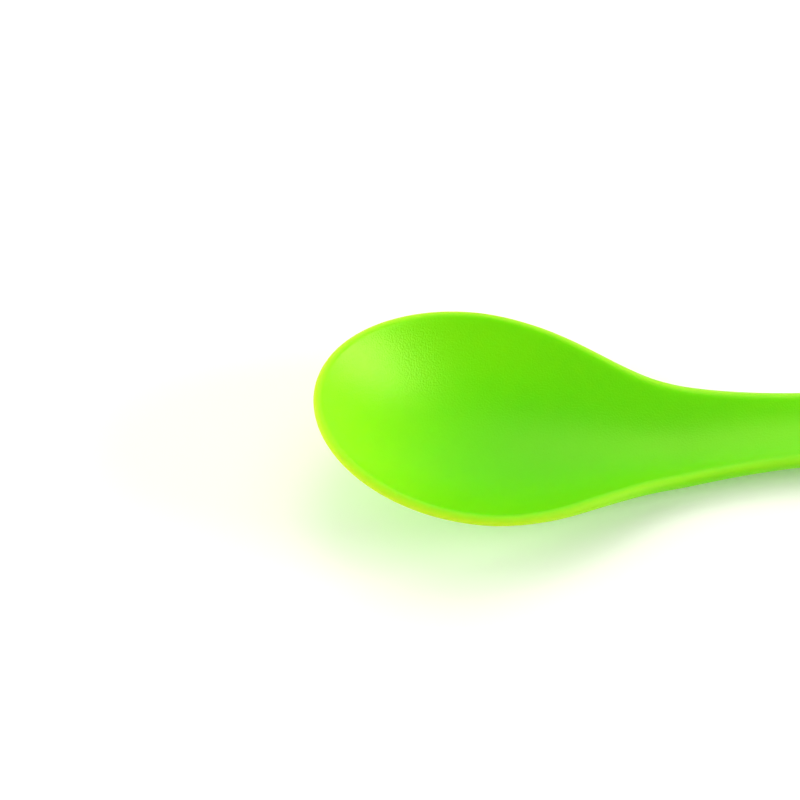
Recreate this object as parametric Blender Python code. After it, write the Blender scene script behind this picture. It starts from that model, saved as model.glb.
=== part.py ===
"""A one-piece moulded spork: a spoon bowl at one end, a four-tine fork with a
serrated outer tine at the other, and a waisted, dished handle between them."""
import math

import bmesh
import bpy
from mathutils import Vector

for old in list(bpy.data.objects):
    bpy.data.objects.remove(old, do_unlink=True)

# Sizes in metres, slopes in degrees. +X runs from the spoon to the fork, +Z is up.

# Outline seen from above
LENGTH = 0.1700              # spoon tip to the tips of the middle tines
BOWL_WIDTH = 0.0380          # widest place of the whole spork
BOWL_NOSE = 0.0252           # spoon tip to that widest place, half an ellipse
SHOULDER_AT = 0.0350         # bowl shoulder, from the spoon tip
SHOULDER_WIDTH = 0.0348
SHOULDER_TAPER = 16.4        # how far each side turns in there
NECK_AT = 0.0540             # spoon neck, from the spoon tip
NECK_WIDTH = 0.0193
NECK_TAPER = 14.5
WAIST_WIDTH = 0.0125         # narrowest place, half way along the handle
FORK_NECK_AT = 0.0560        # fork neck, from the fork tips
FORK_NECK_WIDTH = 0.0185
FORK_NECK_TAPER = 16.2
FORK_WIDTH = 0.0364
FORK_WIDEST_AT = 0.0260      # widest place of the fork, from the fork tips
FORK_END_WIDTH = 0.0300      # outline of the fork, carried on to the tips
FORK_END_TAPER = 13.0

# Side view: height of the rim over the rim at the two necks
SPOON_LIFT = 0.0135          # at the spoon tip
SPOON_TIP_RISE = 15.6
BOWL_BEND_AT = 0.0400        # where the bowl's straight rim levels out
BOWL_BEND_LIFT = 0.0041
BOWL_RISE = 13.8
BOWL_LOW_AT = 0.0580         # lowest rim, from the spoon tip
WAIST_ARCH = 0.0010          # at the waist
FORK_LOW_AT = 0.0580         # lowest rim, from the fork tips
FORK_BEND_AT = 0.0420
FORK_BEND_LIFT = 0.0033
FORK_RISE = 12.7
FORK_LIFT = 0.0130           # at the fork tips
FORK_TIP_RISE = 13.5

# Dish: how far the middle of the section lies below the rim
BOWL_DEPTH = 0.0081
NECK_DEPTH = 0.00275
NECK_FADE = 8.5              # how fast the dish gets shallower at the spoon neck
WAIST_DEPTH = 0.0012
FORK_NECK_DEPTH = 0.00290
FORK_NECK_GAIN = 8.3
FORK_DEPTH = 0.0052
FORK_DEEPEST_AT = 0.0330     # from the fork tips
TINE_DEPTH = 0.0018          # left at the tips
TINE_FADE = 8.0
FULLNESS = 2.2               # 2 is a parabola, more is a flatter floor with steeper walls

# Wall, with a full round all along its edge
BOWL_WALL = 0.00175
HANDLE_WALL = 0.0023
HANDLE_REACH = 0.0250        # the handle wall runs this far each way from the waist
TINE_WALL = 0.0018
BLADE_WALL = 0.0011          # along the serrated edge

# Tines
SLOT_WIDTH = 0.0026          # clear width at the round root
SLOT_FLARE = 1.15            # how far each side of a slot opens towards the tips
SLOT_SPACING = 0.0086        # between the middles of the slots
SLOT_LENGTH = 0.0290         # root to the tips of the middle tines
TIP_TAPER = 0.0090           # rounded end of a tine
OUTER_SETBACK = 0.0025       # the outer tines end this much earlier

# Serration on the outer edge of the tine on the +Y side
TEETH = 10
TOOTH_DEPTH = 0.0007

REST_FLAT = 0.00030          # depth of the two flats that the necks rest on

# Fineness of the surface
TINE_CELLS = 4
ROOT_FACET = 45              # degrees of a round slot root in one facet
NOSE_ROWS = 9
ROW_STEP = 0.0026
CAP_ROWS = 4
LIP_STEPS = 5

TIP = -LENGTH / 2
END = LENGTH / 2
NOSE_X = TIP + BOWL_NOSE
FORK_MAX_X = END - FORK_WIDEST_AT


def curve(x, knots):
    """Smooth curve through knots of place, value and slope."""
    x = min(max(x, knots[0][0]), knots[-1][0])
    for (x0, y0, m0), (x1, y1, m1) in zip(knots, knots[1:]):
        if x <= x1:
            break
    span = x1 - x0
    t = (x - x0) / span
    start = (1 + 2 * t) * (1 - t) ** 2 * y0 + t * (1 - t) ** 2 * span * m0
    end = t * t * (3 - 2 * t) * y1 + t * t * (t - 1) * span * m1
    return start + end


def slope(degrees):
    return math.tan(math.radians(degrees))


def half_width(x):
    return curve(x, [
        (NOSE_X, BOWL_WIDTH / 2, 0),
        (TIP + SHOULDER_AT, SHOULDER_WIDTH / 2, -slope(SHOULDER_TAPER)),
        (TIP + NECK_AT, NECK_WIDTH / 2, -slope(NECK_TAPER)),
        (0, WAIST_WIDTH / 2, 0),
        (END - FORK_NECK_AT, FORK_NECK_WIDTH / 2, slope(FORK_NECK_TAPER)),
        (FORK_MAX_X, FORK_WIDTH / 2, 0),
        (END, FORK_END_WIDTH / 2, -slope(FORK_END_TAPER))])


def rim(x):
    return curve(x, [
        (TIP, SPOON_LIFT, -slope(SPOON_TIP_RISE)),
        (TIP + BOWL_BEND_AT, BOWL_BEND_LIFT, -slope(BOWL_RISE)),
        (TIP + BOWL_LOW_AT, 0, 0),
        (0, WAIST_ARCH, 0),
        (END - FORK_LOW_AT, 0, 0),
        (END - FORK_BEND_AT, FORK_BEND_LIFT, slope(FORK_RISE)),
        (END, FORK_LIFT, slope(FORK_TIP_RISE))])


def depth(x):
    return curve(x, [
        (NOSE_X, BOWL_DEPTH, 0),
        (TIP + BOWL_LOW_AT, NECK_DEPTH, -slope(NECK_FADE)),
        (0, WAIST_DEPTH, 0),
        (END - FORK_LOW_AT, FORK_NECK_DEPTH, slope(FORK_NECK_GAIN)),
        (END - FORK_DEEPEST_AT, FORK_DEPTH, 0),
        (END, TINE_DEPTH, -slope(TINE_FADE))])


def wall(x):
    return curve(x, [
        (NOSE_X, BOWL_WALL, 0),
        (-HANDLE_REACH, HANDLE_WALL, 0),
        (HANDLE_REACH, HANDLE_WALL, 0),
        (FORK_MAX_X, TINE_WALL, 0),
        (END, TINE_WALL, 0)])


def sheet_half(x):
    """Half the width of the wall's middle surface: the round edge stands outside it."""
    step = LENGTH / 1000
    taper = (half_width(x + step) - half_width(x - step)) / (2 * step)
    return half_width(x) - wall(x) / 2 * math.hypot(1, taper)


NOSE_REACH = BOWL_NOSE - BOWL_WALL / 2
NOSE_HALF = BOWL_WIDTH / 2 - BOWL_WALL / 2


def height(x, y):
    """Height of the wall's middle surface."""
    if x < NOSE_X:
        reach = math.hypot((NOSE_X - x) / NOSE_REACH, y / NOSE_HALF)
        return rim(x) - BOWL_DEPTH * (1 - reach ** FULLNESS)
    reach = abs(y) / sheet_half(x)
    return rim(x) - depth(x) * (1 - reach ** FULLNESS)


def normal(x, y):
    step = LENGTH / 20000
    along = (height(x + step, y) - height(x - step, y)) / (2 * step)
    across = (height(x, y + step) - height(x, y - step)) / (2 * step)
    return Vector((-along, -across, 1)).normalized()


# Slots: a round root, then two sides that open a little towards the tips.
EIGHTH = math.pi / 4
SLOT_CELLS = round(2 * EIGHTH / math.radians(ROOT_FACET))
COLUMNS = 4 * TINE_CELLS + 3 * SLOT_CELLS
GROUP = TINE_CELLS + SLOT_CELLS
ROOT_R = SLOT_WIDTH / 2 + TINE_WALL / 2
ROOT_CENTRE = END - SLOT_LENGTH + SLOT_WIDTH / 2
ROOT_X = ROOT_CENTRE - ROOT_R * math.cos(EIGHTH)
PALM_X = END - FORK_NECK_AT
SLOT_PLACES = [-SLOT_SPACING, 0, SLOT_SPACING]


def slot_half(x):
    if x < ROOT_CENTRE:
        return math.sqrt(ROOT_R ** 2 - (ROOT_CENTRE - x) ** 2)
    return ROOT_R + slope(SLOT_FLARE) * (x - ROOT_CENTRE)


def tine_sides(tine, x):
    gap = slot_half(x)
    sides = [-sheet_half(x)]
    for place in SLOT_PLACES:
        sides += [place - gap, place + gap]
    sides.append(sheet_half(x))
    return sides[2 * tine], sides[2 * tine + 1]


def tine_column(column):
    """Tine and place across it, -1 to 1, or None for a column that runs into a slot."""
    tine, cell = divmod(column, GROUP)
    if cell > TINE_CELLS:
        return None
    return tine, 2 * cell / TINE_CELLS - 1


def root_place(column):
    """Where a column meets the line of the slot roots: side place and dip into the palm."""
    spot = tine_column(column)
    if spot:
        tine, share = spot
        low, high = tine_sides(tine, ROOT_X)
        return (low + high) / 2 + share * (high - low) / 2, 0
    slot, cell = divmod(column, GROUP)
    turn = (2 * (cell - TINE_CELLS) / SLOT_CELLS - 1) * EIGHTH
    dip = ROOT_R * (math.cos(turn) - math.cos(EIGHTH))
    return SLOT_PLACES[slot] + ROOT_R * math.sin(turn), dip


def sheet_rows():
    """Points of the middle surface as rows across the spork, from the spoon to the fork."""
    rows = []
    even = [2 * c / COLUMNS - 1 for c in range(COLUMNS + 1)]
    for i in range(NOSE_ROWS):
        p = 1 - i / NOSE_ROWS
        rows.append([(NOSE_X - NOSE_REACH * p * math.sqrt(1 - v * v / 2),
                      NOSE_HALF * v * math.sqrt(1 - p * p / 2)) for v in even])

    roots = [root_place(c) for c in range(COLUMNS + 1)]
    count = max(8, round((ROOT_X - NOSE_X) / ROW_STEP))
    for i in range(count + 1):
        x = NOSE_X + (ROOT_X - NOSE_X) * i / count
        t = max(0, (x - PALM_X) / (ROOT_X - PALM_X))
        blend = t * t * (3 - 2 * t)
        row = []
        for v, (place, dip) in zip(even, roots):
            share = v + (place / sheet_half(ROOT_X) - v) * blend
            row.append((x - dip * t ** 4, share * sheet_half(x)))
        rows.append(row)

    spots = [tine_column(c) for c in range(COLUMNS + 1)]
    ends = [END - TINE_WALL / 2 - TIP_TAPER - (OUTER_SETBACK if tine in (0, 3) else 0)
            for tine in range(4)]

    def place(spot, x, p=0):
        tine, share = spot
        low, high = tine_sides(tine, min(x, ends[tine]))
        half = (high - low) / 2
        middle = (low + high) / 2
        if p == 0:
            return x, middle + share * half
        return (ends[tine] + TIP_TAPER * p * math.sqrt(1 - share * share / 2),
                middle + share * half * math.sqrt(1 - p * p / 2))

    for i in (1, 2):
        x = ROOT_X + (ROOT_CENTRE - ROOT_X) * i / 2
        rows.append([spot and place(spot, x) for spot in spots])
    count = 2 * TEETH + 2
    for i in range(1, count + 1):
        rows.append([spot and place(spot, ROOT_CENTRE + (ends[spot[0]] - ROOT_CENTRE) * i / count)
                     for spot in spots])
    first_tooth = len(rows) - count
    for i in range(1, CAP_ROWS + 1):
        rows.append([spot and place(spot, ends[spot[0]], i / CAP_ROWS) for spot in spots])
    return rows, first_tooth


def blade(x, y):
    """1 on the serrated edge, fading to 0 a tine's width inside it and at both ends."""
    run = (x - ROOT_CENTRE) / (END - TIP_TAPER - ROOT_CENTRE)
    if not 0 < run < 1:
        return 0
    inset = (sheet_half(x) - y) / SLOT_SPACING
    return max(0, 1 - 2 * inset) * min(1, 5 * run, 5 * (1 - run))


def build_spork():
    bm = bmesh.new()
    rows, first_tooth = sheet_rows()
    thick = {}
    face_way = {}
    bite = {}

    # The middle surface, as one sheet with its slots left open
    grid = []
    for r, row in enumerate(rows):
        line = []
        for c, point in enumerate(row):
            if point is None:
                line.append(None)
                continue
            x, y = point
            vert = bm.verts.new((x, y, height(x, y)))
            edge = blade(x, y)
            thick[vert] = wall(x) + (BLADE_WALL - wall(x)) * edge
            face_way[vert] = normal(x, y)
            tooth = r - first_tooth
            cut = c == COLUMNS and tooth % 2 == 0 and 0 <= tooth <= 2 * TEETH
            bite[vert] = Vector((0, -TOOTH_DEPTH if cut else 0, 0))
            line.append(vert)
        grid.append(line)
    for row, after in zip(grid, grid[1:]):
        for c in range(COLUMNS):
            corners = (row[c], after[c], after[c + 1], row[c + 1])
            if None not in corners:
                bm.faces.new(corners)
    sheet_faces = [tuple(face.verts) for face in bm.faces]
    sheet_edges = [edge for edge in bm.edges if edge.is_boundary]

    # Which way the edge runs, with the sheet on its left
    onward = {}
    back = {}
    for edge in sheet_edges:
        loop = edge.link_loops[0]
        a, b = loop.vert, loop.link_loop_next.vert
        onward[a] = b
        back[b] = a

    # Both faces of the wall, and the full round that joins them along the edge
    top = {}
    under = {}
    for vert in list(thick):
        place = vert.co + bite[vert]
        top[vert] = bm.verts.new(place + face_way[vert] * thick[vert] / 2)
        under[vert] = bm.verts.new(place - face_way[vert] * thick[vert] / 2)
    for corners in sheet_faces:
        bm.faces.new([top[v] for v in corners])
        bm.faces.new([under[v] for v in reversed(corners)])
    lip = {}
    for vert in onward:
        along = onward[vert].co - back[vert].co
        outward = along.cross(face_way[vert]).normalized()
        ring = [top[vert]]
        for k in range(1, LIP_STEPS):
            turn = math.pi * k / LIP_STEPS
            spoke = face_way[vert] * math.cos(turn) + outward * math.sin(turn)
            ring.append(bm.verts.new(vert.co + bite[vert] + spoke * thick[vert] / 2))
        ring.append(under[vert])
        lip[vert] = ring
    for a, b in onward.items():
        for k in range(LIP_STEPS):
            bm.faces.new((lip[b][k], lip[a][k], lip[a][k + 1], lip[b][k + 1]))
    bmesh.ops.delete(bm, geom=list(thick), context="VERTS")

    # Stand it on the table, centred, with the lowest of the underside cut flat
    xs = [v.co.x for v in bm.verts]
    ys = [v.co.y for v in bm.verts]
    middle = Vector(((min(xs) + max(xs)) / 2, (min(ys) + max(ys)) / 2, 0))
    middle.z = min(v.co.z for v in bm.verts) + REST_FLAT
    for vert in bm.verts:
        vert.co -= middle
        vert.co.z = max(vert.co.z, 0)

    mesh = bpy.data.meshes.new("spork_body")
    bm.to_mesh(mesh)
    bm.free()
    mesh.shade_smooth()
    body = bpy.data.objects.new("spork_body", mesh)
    bpy.context.scene.collection.objects.link(body)
    return body


lime = bpy.data.materials.new("lime_plastic")
lime.use_nodes = True
shader = lime.node_tree.nodes["Principled BSDF"]
shader.inputs["Base Color"].default_value = (0.16, 0.72, 0.012, 1)
shader.inputs["Roughness"].default_value = 0.42
shader.inputs["Metallic"].default_value = 0.0

spork = build_spork()
spork.data.materials.append(lime)
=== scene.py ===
import math

import bpy
import numpy as np
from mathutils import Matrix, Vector
from mathutils.kdtree import KDTree


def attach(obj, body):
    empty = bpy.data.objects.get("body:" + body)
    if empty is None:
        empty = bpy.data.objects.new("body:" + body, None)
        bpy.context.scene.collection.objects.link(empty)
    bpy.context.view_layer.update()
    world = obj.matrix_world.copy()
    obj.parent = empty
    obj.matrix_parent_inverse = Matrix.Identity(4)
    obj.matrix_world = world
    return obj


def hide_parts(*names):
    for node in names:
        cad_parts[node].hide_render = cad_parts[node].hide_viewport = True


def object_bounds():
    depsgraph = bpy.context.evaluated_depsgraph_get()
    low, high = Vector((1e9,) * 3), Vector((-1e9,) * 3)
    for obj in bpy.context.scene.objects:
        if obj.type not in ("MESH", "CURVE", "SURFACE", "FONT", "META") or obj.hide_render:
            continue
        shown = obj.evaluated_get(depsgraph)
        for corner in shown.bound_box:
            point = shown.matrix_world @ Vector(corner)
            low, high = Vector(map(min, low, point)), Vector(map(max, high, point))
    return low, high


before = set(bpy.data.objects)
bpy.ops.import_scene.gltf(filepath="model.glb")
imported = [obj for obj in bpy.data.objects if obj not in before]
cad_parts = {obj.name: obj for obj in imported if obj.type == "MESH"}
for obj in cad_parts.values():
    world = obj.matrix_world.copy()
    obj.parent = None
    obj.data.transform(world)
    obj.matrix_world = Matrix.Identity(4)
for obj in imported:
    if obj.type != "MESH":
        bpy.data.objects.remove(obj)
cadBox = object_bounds()
scene = bpy.context.scene
scene.view_settings.view_transform = "Standard"

# Sizes in metres and angles in degrees, the same as those of the solid that it stands for
spork = {
    "length": 0.1700, "bowlWidth": 0.0380, "bowlNose": 0.0252,
    "shoulder": (0.0350, 0.0348, 16.4),       # from the spoon tip, width, taper
    "neck": (0.0540, 0.0193, 14.5),           # the same
    "waistWidth": 0.0125,
    "forkNeck": (0.0560, 0.0185, 16.2),       # from the fork tips, width, taper
    "forkWidest": (0.0260, 0.0364),           # from the fork tips, width
    "forkEnd": (0.0300, 13.0),                # width, taper
    "spoonTip": (0.0135, 15.6),               # rim height over the necks' rim, slope
    "bowlBend": (0.0400, 0.0041, 13.8),       # from the spoon tip, rim height, slope
    "bowlLow": 0.0580, "waistArch": 0.0010, "forkLow": 0.0580,
    "forkBend": (0.0420, 0.0033, 12.7),       # from the fork tips, rim height, slope
    "forkTip": (0.0130, 13.5),                # rim height, slope
    "bowlDepth": 0.0081, "neckDepth": (0.00275, 8.5), "waistDepth": 0.0012,
    "forkNeckDepth": (0.0029, 8.3), "forkDepth": (0.0330, 0.0052),
    "tineDepth": (0.0018, 8.0), "fullness": 2.2,
    "bowlWall": 0.00175, "handleWall": 0.0023, "handleReach": 0.0250,
    "tineWall": 0.0018, "bladeWall": 0.0011,
    "slotWidth": 0.0026, "slotFlare": 1.15, "slotSpacing": 0.0086, "slotLength": 0.0290,
    "tipTaper": 0.0090, "outerSetback": 0.0025,
    "teeth": 10, "toothDepth": 0.0007, "restFlat": 0.0003,
    # how finely it is meshed
    "tineCells": 10, "slotCells": 4, "noseRows": 40, "bodyStep": 0.0006,
    "rootRows": 4, "rowsPerFlank": 3, "capRows": 16, "lipSteps": 10, "weld": 1e-6,
    # degrees round the edge where its painted glow, a lighter and yellower lip colour standing in
    # for light coming through the thin edge, comes and goes, and how strong it is
    "rimTurn": (15, 105, 150, 180), "rimTint": 1,
    "handleTurn": (24, 54, 72, 105), "handleTint": 0.4,
}

tipX, endX = -spork["length"] / 2, spork["length"] / 2
noseX = tipX + spork["bowlNose"]
noseReach = spork["bowlNose"] - spork["bowlWall"] / 2
noseHalf = (spork["bowlWidth"] - spork["bowlWall"]) / 2
rootR = (spork["slotWidth"] + spork["tineWall"]) / 2
rootCentre = endX - spork["slotLength"] + spork["slotWidth"] / 2
rootX = rootCentre - rootR * math.cos(math.pi / 4)
palmX = endX - spork["forkNeck"][0]
forkMaxX = endX - spork["forkWidest"][0]


def smoothCurve(x, knots):  # through knots of place, value and slope
    knots = np.array(knots, float)
    x = np.clip(np.asarray(x, float), knots[0, 0], knots[-1, 0])
    i = np.clip(np.searchsorted(knots[:, 0], x) - 1, 0, len(knots) - 2)
    (x0, y0, m0), (x1, y1, m1) = np.moveaxis(knots[i], -1, 0), np.moveaxis(knots[i + 1], -1, 0)
    span = x1 - x0
    t = (x - x0) / span
    start = (1 + 2 * t) * (1 - t) ** 2 * y0 + t * (1 - t) ** 2 * span * m0
    return start + t * t * (3 - 2 * t) * y1 + t * t * (t - 1) * span * m1


def slope(degrees):
    return math.tan(math.radians(degrees))


def halfWidth(x):
    shoulder, neck, forkNeck = spork["shoulder"], spork["neck"], spork["forkNeck"]
    return smoothCurve(x, [
        (noseX, spork["bowlWidth"] / 2, 0),
        (tipX + shoulder[0], shoulder[1] / 2, -slope(shoulder[2])),
        (tipX + neck[0], neck[1] / 2, -slope(neck[2])),
        (0, spork["waistWidth"] / 2, 0),
        (palmX, forkNeck[1] / 2, slope(forkNeck[2])),
        (forkMaxX, spork["forkWidest"][1] / 2, 0),
        (endX, spork["forkEnd"][0] / 2, -slope(spork["forkEnd"][1]))])


def rimHeight(x):
    bowlBend, forkBend = spork["bowlBend"], spork["forkBend"]
    return smoothCurve(x, [
        (tipX, spork["spoonTip"][0], -slope(spork["spoonTip"][1])),
        (tipX + bowlBend[0], bowlBend[1], -slope(bowlBend[2])),
        (tipX + spork["bowlLow"], 0, 0),
        (0, spork["waistArch"], 0),
        (endX - spork["forkLow"], 0, 0),
        (endX - forkBend[0], forkBend[1], slope(forkBend[2])),
        (endX, spork["forkTip"][0], slope(spork["forkTip"][1]))])


def dishDepth(x):
    return smoothCurve(x, [
        (noseX, spork["bowlDepth"], 0),
        (tipX + spork["bowlLow"], spork["neckDepth"][0], -slope(spork["neckDepth"][1])),
        (0, spork["waistDepth"], 0),
        (endX - spork["forkLow"], spork["forkNeckDepth"][0], slope(spork["forkNeckDepth"][1])),
        (endX - spork["forkDepth"][0], spork["forkDepth"][1], 0),
        (endX, spork["tineDepth"][0], -slope(spork["tineDepth"][1]))])


def wallAt(x):
    reach = spork["handleReach"]
    return smoothCurve(x, [
        (noseX, spork["bowlWall"], 0), (-reach, spork["handleWall"], 0),
        (reach, spork["handleWall"], 0), (forkMaxX, spork["tineWall"], 0),
        (endX, spork["tineWall"], 0)])


def sheetHalf(x):  # the round edge stands outside the wall's middle surface
    step = spork["length"] / 1000
    taper = (halfWidth(x + step) - halfWidth(x - step)) / (2 * step)
    return halfWidth(x) - wallAt(x) / 2 * np.hypot(1, taper)


def sheetHeight(x, y):
    nose = np.hypot((noseX - x) / noseReach, y / noseHalf)
    inBowl = rimHeight(x) - spork["bowlDepth"] * (1 - nose ** spork["fullness"])
    beyond = rimHeight(x) - dishDepth(x) * (1 - (abs(y) / sheetHalf(x)) ** spork["fullness"])
    return np.where(x < noseX, inBowl, beyond)


def sheetNormal(x, y):
    step = spork["length"] / 20000
    along = (sheetHeight(x + step, y) - sheetHeight(x - step, y)) / (2 * step)
    across = (sheetHeight(x, y + step) - sheetHeight(x, y - step)) / (2 * step)
    normal = np.stack([-along, -across, np.ones_like(along)], 1)
    return normal / np.linalg.norm(normal, axis=1)[:, None]


cells = spork["tineCells"]
group = cells + spork["slotCells"]
columns = 4 * cells + 3 * spork["slotCells"]
column = np.arange(columns + 1)
tineOf, cellOf = column // group, column % group
onTine = cellOf <= cells
shareOf = np.where(onTine, 2 * cellOf / cells - 1, 0)
even = 2 * column / columns - 1
bodyRows = round((rootX - noseX) / spork["bodyStep"])
toothRows = (2 * spork["teeth"] + 2) * spork["rowsPerFlank"]
firstBody = spork["noseRows"]
rootRow = firstBody + bodyRows
firstTooth = rootRow + spork["rootRows"]
firstCap = firstTooth + toothRows
lastRow = firstCap + spork["capRows"]


def tineEdges(x, bite):
    before = np.clip(rootCentre - x, 0, rootR)
    flare = slope(spork["slotFlare"]) * np.clip(x - rootCentre, 0, None)
    gap = np.sqrt(rootR ** 2 - before ** 2) + flare
    slots = np.array([-1, 0, 1]) * spork["slotSpacing"]
    low = np.where(tineOf == 0, -sheetHalf(x), slots[np.clip(tineOf - 1, 0, 2)] + gap)
    high = np.where(tineOf == 3, sheetHalf(x) - bite, slots[np.clip(tineOf, 0, 2)] - gap)
    return low, high


def rootPlaces():
    low, high = tineEdges(np.full(columns + 1, rootX), 0)
    turn = (2 * (cellOf - cells) / spork["slotCells"] - 1) * math.pi / 4
    slotMid = np.array([-1, 0, 1, 0])[tineOf] * spork["slotSpacing"]
    side = np.where(onTine, (low + high) / 2 + shareOf * (high - low) / 2,
                    slotMid + rootR * np.sin(turn))
    dip = np.where(onTine, 0, rootR * (np.cos(turn) - math.cos(math.pi / 4)))
    return side, dip


rootSide, rootDip = rootPlaces()
capX = (endX - spork["tineWall"] / 2 - spork["tipTaper"]
        - np.where((tineOf == 0) | (tineOf == 3), spork["outerSetback"], 0))


def rowPoints(row, toothDepth):  # one row of the sheet, seen from above
    if row < firstBody:
        p = 1 - row / firstBody
        return (noseX - noseReach * p * np.sqrt(1 - even ** 2 / 2),
                noseHalf * even * math.sqrt(1 - p * p / 2))
    if row <= rootRow:
        x = noseX + (rootX - noseX) * (row - firstBody) / bodyRows
        t = max(0, (x - palmX) / (rootX - palmX))
        share = even + (rootSide / sheetHalf(rootX) - even) * t * t * (3 - 2 * t)
        return x - rootDip * t ** 4, share * sheetHalf(x)
    bite = 0
    if row <= firstTooth:
        x = rootX + (rootCentre - rootX) * (row - rootRow) / spork["rootRows"] + 0 * shareOf
    else:
        x = rootCentre + (capX - rootCentre) * min(1, (row - firstTooth) / toothRows)
        flank = (row - firstTooth) / spork["rowsPerFlank"] % 2
        bite = toothDepth * (1 - abs(flank - 1)) * (row < firstCap)
    low, high = tineEdges(x, bite)
    middle, half = (low + high) / 2, (high - low) / 2
    p = max(0, (row - firstCap) / spork["capRows"])
    return (x + spork["tipTaper"] * p * np.sqrt(1 - shareOf ** 2 / 2),
            middle + shareOf * half * math.sqrt(1 - p * p / 2))


def bladeShare(x, y):  # 1 on the serrated edge, 0 half a tine inside it
    run = np.clip((x - rootCentre) / (endX - spork["tipTaper"] - rootCentre), 0, 1)
    inset = (sheetHalf(x) - y) / spork["slotSpacing"]
    return np.clip(1 - 2 * inset, 0, 1) * np.clip(5 * np.minimum(run, 1 - run), 0, 1)


def setPlaces(mesh, places):
    mesh.vertices.foreach_set("co", np.asarray(places, np.float32).ravel())
    mesh.update()


def getPlaces(mesh):
    places = np.empty(3 * len(mesh.vertices), np.float32)
    mesh.vertices.foreach_get("co", places)
    return places.reshape(-1, 3)


def gridNumbers(places):  # row and column of each point of the flat grid
    share = (places[:, :2] + 1) / 2
    return np.rint(share * [lastRow, columns]).astype(int).T


def pick(mesh, vertices=(), edges=(), faces=()):
    for parts, chosen in ((mesh.vertices, vertices), (mesh.edges, edges),
                          (mesh.polygons, faces)):
        flags = np.zeros(len(parts), bool)
        flags[list(chosen)] = True
        parts.foreach_set("select", flags)


def inEditMode(kind, *steps):
    bpy.ops.object.mode_set(mode="EDIT")
    bpy.ops.mesh.select_mode(type=kind)
    for step in steps:
        step()
    bpy.ops.object.mode_set(mode="OBJECT")


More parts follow.
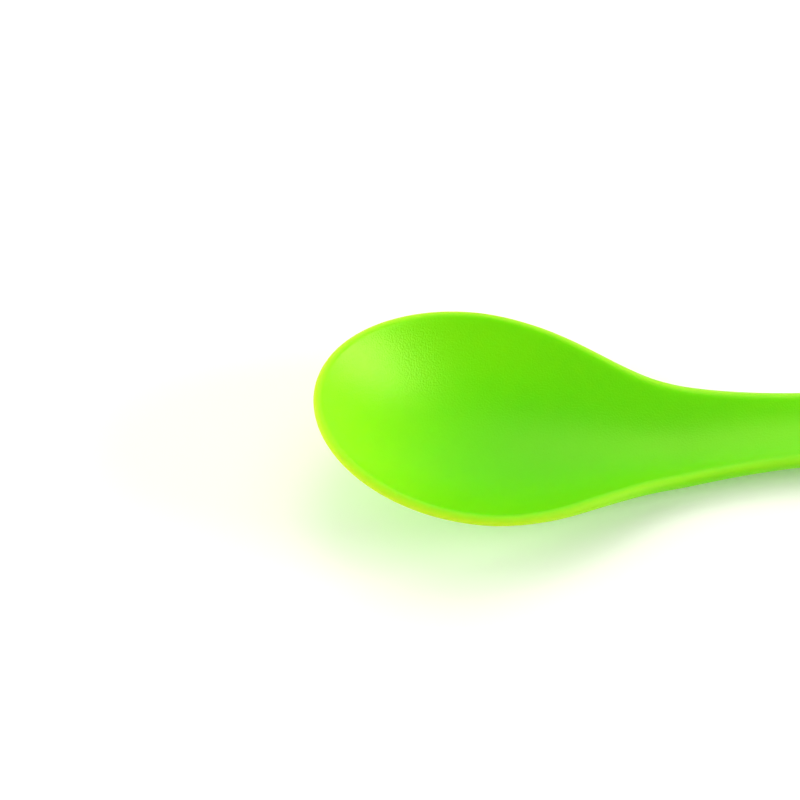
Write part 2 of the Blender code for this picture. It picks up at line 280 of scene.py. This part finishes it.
def makeSpork():
    bpy.ops.object.select_all(action="DESELECT")
    bpy.ops.mesh.primitive_grid_add(x_subdivisions=lastRow, y_subdivisions=columns, size=2)
    piece = bpy.context.object
    piece.name = piece.data.name = "sporkMoulding"
    mesh = piece.data

    # cut the slots out of the flat grid
    rowNo, colNo = gridNumbers(getPlaces(mesh))
    slotFaces = []
    for face in mesh.polygons:
        corners = list(face.vertices)
        inSlot = cellOf[colNo[corners].min()] >= cells
        if inSlot and rowNo[corners].min() >= rootRow:
            slotFaces.append(face.index)
    pick(mesh, faces=slotFaces)
    inEditMode("FACE", lambda: bpy.ops.mesh.delete(type="FACE"))

    # lay the grid on the wall's middle surface
    rowNo, colNo = gridNumbers(getPlaces(mesh))
    toothed = np.array([rowPoints(r, spork["toothDepth"]) for r in range(lastRow + 1)])
    plain = np.array([rowPoints(r, 0) for r in range(lastRow + 1)])
    x, y = toothed[rowNo, 0, colNo], toothed[rowNo, 1, colNo]
    middle = np.stack([x, y, sheetHeight(x, y)], 1)
    px, py = plain[rowNo, 0, colNo], plain[rowNo, 1, colNo]
    smooth = np.stack([px, py, sheetHeight(px, py)], 1)
    normal = sheetNormal(x, y)
    wall = wallAt(x)
    wall = (wall + (spork["bladeWall"] - wall) * bladeShare(x, y))[:, None]

    # the open edge: each point's next and last one, and the way out of the sheet
    directed = set()
    for face in mesh.polygons:
        corners = list(face.vertices)
        directed.update(zip(corners, corners[1:] + corners[:1]))
    onward = {a: b for a, b in directed if (b, a) not in directed}
    before = {b: a for a, b in onward.items()}
    ring = np.array(sorted(onward))
    along = smooth[[onward[v] for v in ring]] - smooth[[before[v] for v in ring]]
    outward = np.cross(along, normal[ring])
    outward /= np.linalg.norm(outward, axis=1)[:, None]

    # upper face, then its copy turned over as the underside
    top, under = middle + normal * wall / 2, middle - normal * wall / 2
    setPlaces(mesh, top)
    inEditMode("VERT", lambda: bpy.ops.mesh.select_all(action="SELECT"),
               lambda: bpy.ops.mesh.duplicate(), lambda: bpy.ops.mesh.flip_normals())
    setPlaces(mesh, np.concatenate([top, under]))

    # the full round along the edge, extruded step by step
    edgeKeys = {tuple(sorted((a, b))) for a, b in onward.items()}
    current = ring.copy()
    pick(mesh, edges=[e.index for e in mesh.edges if tuple(sorted(e.vertices)) in edgeKeys],
         vertices=ring)
    for step in range(1, spork["lipSteps"] + 1):
        inEditMode("EDGE", lambda: bpy.ops.mesh.extrude_edges_move())
        places = getPlaces(mesh)
        fresh = np.arange(len(places) - len(ring), len(places))
        source = {tuple(places[v]): i for i, v in enumerate(current)}
        order = np.array([source[tuple(places[v])] for v in fresh])
        turn = math.pi * step / spork["lipSteps"]
        spoke = normal[ring] * math.cos(turn) + outward * math.sin(turn)
        places[fresh] = (middle[ring] + spoke * wall[ring] / 2)[order]
        setPlaces(mesh, places)
        current = np.empty_like(ring)
        current[order] = fresh
    inEditMode("VERT", lambda: bpy.ops.mesh.select_all(action="SELECT"),
               lambda: bpy.ops.mesh.remove_doubles(threshold=spork["weld"]))

    # stand it on the table, with the lowest of the underside flat
    places = getPlaces(mesh).astype(float)
    low, high = places.min(0), places.max(0)
    shift = np.array([(low[0] + high[0]) / 2, (low[1] + high[1]) / 2, low[2] + spork["restFlat"]])
    places -= shift
    places[:, 2] = np.maximum(places[:, 2], 0)
    places *= np.minimum(1, np.array(cadBox[1]) / places.max(0))
    setPlaces(mesh, places)

    # how far round the edge each point lies
    tree = KDTree(len(ring))
    for i, point in enumerate(middle[ring] - shift):
        tree.insert(point, i)
    tree.balance()
    near = np.array([tree.find(point)[1] for point in places])
    spoke = places + shift - middle[ring[near]]
    out, up = np.sum(spoke * outward[near], 1), np.sum(spoke * normal[ring[near]], 1)
    turn = np.degrees(np.arctan2(out, up))

    # how thin the wall is, from 0 on the handle to 1 in the bowl
    spare = spork["handleWall"] - spork["bowlWall"]
    thin = (spork["handleWall"] - wallAt(places[:, 0] + shift[0])) / spare
    # rimShare marks the round lip: it carries the lip's painted glow colour, strongest where the
    # edge faces up and out, and also its rougher, deeper-reaching plastic
    inBowl, onHandle = [
        np.interp(turn, spork[part + "Turn"], (0, spork[part + "Tint"], spork[part + "Tint"], 0))
        for part in ("rim", "handle")]
    rim = onHandle + (inBowl - onHandle) * thin
    for name, share in (("thinShare", thin), ("rimShare", rim)):
        layer = mesh.attributes.new(name, "FLOAT", "POINT")
        layer.data.foreach_set("value", share.astype(np.float32))

    bpy.ops.object.shade_smooth()
    print("spork:", len(mesh.vertices), "points,", len(mesh.polygons), "faces")
    return piece


class Wire:  # a node socket that can be used in sums
    def __init__(self, tree, socket=None):
        self.tree, self.socket = tree, socket

    def make(self, kind, settings=None, inputs=None, out=0):
        node = self.tree.nodes.new(kind)
        for name, value in (settings or {}).items():
            setattr(node, name, value)
        for name, value in (inputs or {}).items():
            if isinstance(value, Wire):
                self.tree.links.new(value.socket, node.inputs[name])
            else:
                node.inputs[name].default_value = value
        return Wire(self.tree, node.outputs[out] if len(node.outputs) else None)

    def sum(self, operation, a, b):
        return self.make("ShaderNodeMath", {"operation": operation}, {0: a, 1: b})

    def __add__(self, other): return self.sum("ADD", self, other)
    def __radd__(self, other): return self.sum("ADD", other, self)
    def __sub__(self, other): return self.sum("SUBTRACT", self, other)
    def __rsub__(self, other): return self.sum("SUBTRACT", other, self)
    def __mul__(self, other): return self.sum("MULTIPLY", self, other)
    def __rmul__(self, other): return self.sum("MULTIPLY", other, self)

    def mix(self, first, second):  # self is the share of the second colour
        return self.make("ShaderNodeMix", {"data_type": "RGBA"},
                         {0: self, 6: first, 7: second}, 2)


def newMaterial(name):
    material = bpy.data.materials.new(name)
    material.use_nodes = True
    material.node_tree.nodes.clear()
    return material, Wire(material.node_tree)


limePlastic = {
    "handle": (0.214, 0.865, 0.002, 1), "bowl": (0.120, 0.775, 0.002, 1),
    "cloud": (0.116, 0.735, 0.002, 1), "cloudScale": 90, "cloudShare": 0.3,
    # the lip's colour is painted glow: lighter and yellower, for light coming through the thin
    # edge
    "rim": (0.420, 1.0, 0.028, 1),
    "tip": (0.325, 0.945, 0.010, 1), "tipGlowRun": (-0.060, -0.085),    # painted light and highlight: lighter, yellower and a little whiter toward the spoon tip; starts and is full at this x
    "roughness": (0.39, 0.315), "rimRoughness": 0.8,                # handle and bowl, then rim
    "grainScale": 3800, "grainDepth": 0.000065, "grainRoughness": 0.02, "noiseDetail": 2,
    "shine": 0.8, "shineTint": (1.0, 1.0, 0.28, 1), "ior": 1.5,
    "subsurface": 1.0, "reach": (1.0, 1.0, 0.08), "reachScale": (0.003, 0.011),  # body, lip
    "through": (0.85, 1.0, 0.035, 1), "throughShare": (0.22, 0.38, 0.15),  # handle, bowl, lip
}


def makeLimePlastic():
    look = limePlastic
    material, start = newMaterial("limePlastic")
    place = start.make("ShaderNodeTexCoord", out=3)
    rim = start.make("ShaderNodeAttribute", {"attribute_name": "rimShare"}, out=2)
    thin = start.make("ShaderNodeAttribute", {"attribute_name": "thinShare"}, out=2)
    alongX = start.make("ShaderNodeSeparateXYZ", inputs={0: place})
    tip = start.make("ShaderNodeMapRange", {"interpolation_type": "SMOOTHSTEP"}, {
        "Value": alongX, "From Min": look["tipGlowRun"][0], "From Max": look["tipGlowRun"][1]})
    cloud, grain = [start.make("ShaderNodeTexNoise", inputs={
        "Vector": place, "Scale": scale, "Detail": look["noiseDetail"]})
        for scale in (look["cloudScale"], look["grainScale"])]
    colour = thin.mix(look["handle"], look["bowl"])
    colour = (look["cloudShare"] * cloud).mix(colour, look["cloud"])
    # painted light: the colour turns lighter, yellower and a little whiter toward the spoon tip,
    # standing in for light through the thin tip and its highlight
    colour = tip.mix(colour, look["tip"])
    # painted glow: the lip made lighter and yellower by rimShare
    colour = rim.mix(colour, look["rim"])
    bump = start.make("ShaderNodeBump", inputs={
        "Height": grain, "Strength": 1.0, "Distance": look["grainDepth"]})
    onHandle, inBowl = look["roughness"]
    rough = onHandle + (inBowl - onHandle) * thin
    rough = rough + rim * (look["rimRoughness"] - rough)
    rough = rough + look["grainRoughness"] * (grain - 0.5)
    # the same plastic twice, because light reaches further in the round lip
    body, lip = [start.make("ShaderNodeBsdfPrincipled", inputs={
        "Base Color": colour, "Roughness": rough, "Normal": bump, "IOR": look["ior"],
        "Specular IOR Level": look["shine"], "Specular Tint": look["shineTint"],
        "Subsurface Weight": look["subsurface"], "Subsurface Radius": look["reach"],
        "Subsurface Scale": scale}) for scale in look["reachScale"]]
    shader = start.make("ShaderNodeMixShader", inputs={0: rim, 1: body, 2: lip})
    through = start.make("ShaderNodeBsdfTranslucent", inputs={"Color": look["through"]})
    thick, thinnest, edge = look["throughShare"]
    share = thick + (thinnest - thick) * thin
    shader = start.make("ShaderNodeMixShader", inputs={
        0: share + rim * (edge * thin - share), 1: shader, 2: through})
    start.make("ShaderNodeOutputMaterial", inputs={"Surface": shader})
    return material


sporkPiece = makeSpork()
sporkPiece.data.materials.clear()
sporkPiece.data.materials.append(makeLimePlastic())
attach(sporkPiece, "root")
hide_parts("spork_body")
print("plastic: done")

table = {
    "size": 4.0, "drop": 0.00002,
    "colour": (0.97, 0.97, 0.97, 1), "seen": (1.22, 1.205, 1.085, 1),  # for light, for the eye
}


def makeTable():
    bpy.ops.object.select_all(action="DESELECT")
    bpy.ops.mesh.primitive_plane_add(size=table["size"], location=(0, 0, -table["drop"]))
    floor = bpy.context.object
    floor.name = "whiteTable"
    material, start = newMaterial("whiteTable")
    rays = [start.make("ShaderNodeLightPath", out=name)
            for name in ("Is Camera Ray", "Is Glossy Ray", "Is Transmission Ray")]
    shown = start.sum("MAXIMUM", start.sum("MAXIMUM", rays[0], rays[1]), rays[2])
    shader = start.make("ShaderNodeBsdfDiffuse", inputs={
        "Color": shown.mix(table["colour"], table["seen"])})
    start.make("ShaderNodeOutputMaterial", inputs={"Surface": shader})
    floor.data.materials.append(material)


makeTable()
print("table: done")

studio = {  # lamps aim at the bowl: turn and height in degrees, width in metres, watts
    "aim": (-0.050, 0.0, 0.0), "distance": 0.80, "sky": 0.24,
    "lamps": {
        "key": (88, 58, 0.30, 0.69),
        "back": (90, 46, 1.30, 4.89),
        "side": (-6, 20.5, 0.33, 4.17),
        "left": (180, 25, 0.60, 3.83),
    },
}


def makeLamp(name, turn, lift, width, watts):
    turn, lift = math.radians(turn), math.radians(lift)
    way = Vector((math.cos(turn) * math.cos(lift), math.sin(turn) * math.cos(lift),
                  math.sin(lift)))
    lamp = bpy.data.lights.new(name, "AREA")
    lamp.size, lamp.energy = width, watts
    holder = bpy.data.objects.new(name, lamp)
    scene.collection.objects.link(holder)
    holder.location = Vector(studio["aim"]) + way * studio["distance"]
    holder.rotation_euler = way.to_track_quat("Z", "Y").to_euler()


for lampName, setting in studio["lamps"].items():
    makeLamp(lampName, *setting)
scene.world = bpy.data.worlds.new("studio")
scene.world.use_nodes = True
sky = scene.world.node_tree.nodes["Background"]
sky.inputs["Color"].default_value = (1, 1, 1, 1)
sky.inputs["Strength"].default_value = studio["sky"]
print("light: done")

shot = {
    "aim": (-0.07144, 0.01081, 0.0), "distance": 0.8, "azimuth": -2.3, "elevation": 58,
    "lens": 231.8, "sensor": 36, "nearest": 0.01,
}


def makeCamera():
    turn, lift = math.radians(shot["azimuth"]), math.radians(shot["elevation"])
    back = Vector((math.sin(turn) * math.cos(lift), -math.cos(turn) * math.cos(lift),
                   math.sin(lift)))
    camera = bpy.data.cameras.new("shot")
    camera.lens, camera.sensor_width = shot["lens"], shot["sensor"]
    camera.clip_start = shot["nearest"]
    holder = bpy.data.objects.new("shot", camera)
    scene.collection.objects.link(holder)
    holder.location = Vector(shot["aim"]) + back * shot["distance"]
    holder.rotation_euler = back.to_track_quat("Z", "Y").to_euler()
    scene.camera = holder


makeCamera()
print("camera: done")
